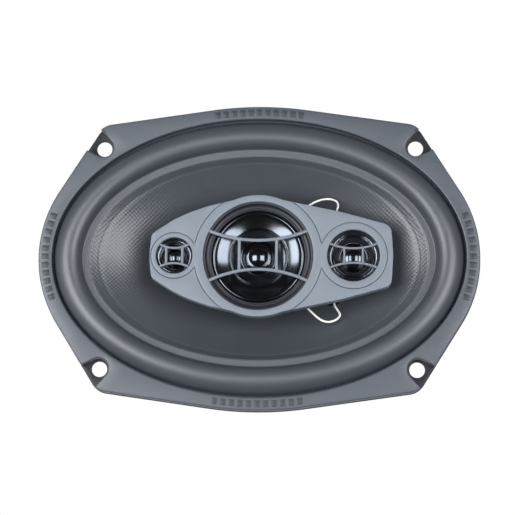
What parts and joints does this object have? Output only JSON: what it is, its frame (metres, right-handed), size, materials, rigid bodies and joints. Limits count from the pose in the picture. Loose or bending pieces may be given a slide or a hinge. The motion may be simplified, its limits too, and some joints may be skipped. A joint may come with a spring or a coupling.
{
  "type": "oval coaxial car speaker",
  "caption": "Oval car speaker: steel basket, rubber-edged cone, magnet motor, and a pod on a stem with a midrange and tweeters behind barred guards.",
  "frame": {"origin": "centre of the four screw holes, on the rear seating face of the mounting flange", "axes": "+Z along the speaker's axis out of its front, +X along its length towards the tweeter, +Y across its width"},
  "size_m": [0.236, 0.1652, 0.0861],
  "materials": {
    "black_steel": "satin black paint",
    "trim_plastic": "matte, fine grain",
    "plated_steel": "bright zinc, turned",
    "ferrite": "ground ferrite, chamfered edges",
    "black_plastic": "moulded, fine grain",
    "zinc_steel": "zinc plated",
    "pod_plastic": "matte, fine grain",
    "tinned_brass": "tinned",
    "nickel": "nickel plated",
    "chromed_plastic": "mirror chrome",
    "blue_sleeve": "shrunk sleeve",
    "board": "pressed board",
    "cone_poly": "fine woven emboss",
    "surround_rubber": "soft sheen",
    "spider_cloth": "resin-dipped weave",
    "former_film": "satin film",
    "copper_wire": "lacquered",
    "felt": "dense felt",
    "tinsel": "braided, silvered",
    "metallised_film": "metallised, glossy"
  },
  "bodies": {
    "frame": {"basket": "black_steel", "trim_ring": "trim_plastic", "top_plate": "plated_steel", "magnet": "ferrite", "yoke": "plated_steel", "plate_rivets": "plated_steel", "stem": "black_plastic", "stem_screw": "zinc_steel", "stem_washer": "zinc_steel", "pod_body": "black_plastic", "pod_face": "pod_plastic", "pod_screws": "zinc_steel", "pod_lugs": "tinned_brass", "midrange_guard": "pod_plastic", "midrange_bezel": "black_plastic", "midrange_pot": "plated_steel", "midrange_magnet": "nickel", "midrange_pole_plate": "plated_steel", "tweeter_guard": "pod_plastic", "tweeter_horn": "chromed_plastic", "tweeter_pot": "plated_steel", "tweeter_magnet": "nickel", "tweeter_pole_plate": "plated_steel", "super_tweeter_guard": "pod_plastic", "super_tweeter_horn": "chromed_plastic", "super_tweeter_pot": "plated_steel", "super_tweeter_magnet": "nickel", "midrange_capacitor": "blue_sleeve", "tweeter_capacitor": "black_plastic", "terminal_board": "board", "positive_tab": "tinned_brass", "negative_tab": "tinned_brass", "terminal_rivets": "zinc_steel"},
    "cone_assembly": {"cone": "cone_poly", "surround": "surround_rubber", "spider": "spider_cloth", "voice_coil_former": "former_film", "voice_coil_winding": "copper_wire", "dust_ring": "felt", "cone_eyelets": "zinc_steel", "coil_leads": "copper_wire", "rear_tinsel_leads": "tinsel", "front_tinsel_leads": "tinsel"},
    "midrange_assembly": {"midrange_diaphragm": "metallised_film", "midrange_coil": "copper_wire"},
    "tweeter_assembly": {"tweeter_dome": "metallised_film", "tweeter_coil": "copper_wire"},
    "super_tweeter_assembly": {"super_tweeter_dome": "metallised_film", "super_tweeter_coil": "copper_wire"}
  },
  "joints": [
    {"name": "cone_travel", "type": "slide", "parent": "frame", "child": "cone_assembly", "axis": [0, 0, 1], "range_m": [-0.005, 0.005], "stiffness_N_per_m": 3000, "deforming": ["surround", "spider", "front_tinsel_leads", "rear_tinsel_leads"]},
    {"name": "midrange_travel", "type": "slide", "parent": "frame", "child": "midrange_assembly", "axis": [0, 0, 1], "range_m": [-0.0005, 0.0005], "stiffness_N_per_m": 1500},
    {"name": "tweeter_travel", "type": "slide", "parent": "frame", "child": "tweeter_assembly", "axis": [0, 0, 1], "range_m": [-0.00025, 0.00025], "stiffness_N_per_m": 1000},
    {"name": "super_tweeter_travel", "type": "slide", "parent": "frame", "child": "super_tweeter_assembly", "axis": [0, 0, 1], "range_m": [-0.0001, 0.0001], "stiffness_N_per_m": 1000}
  ]
}
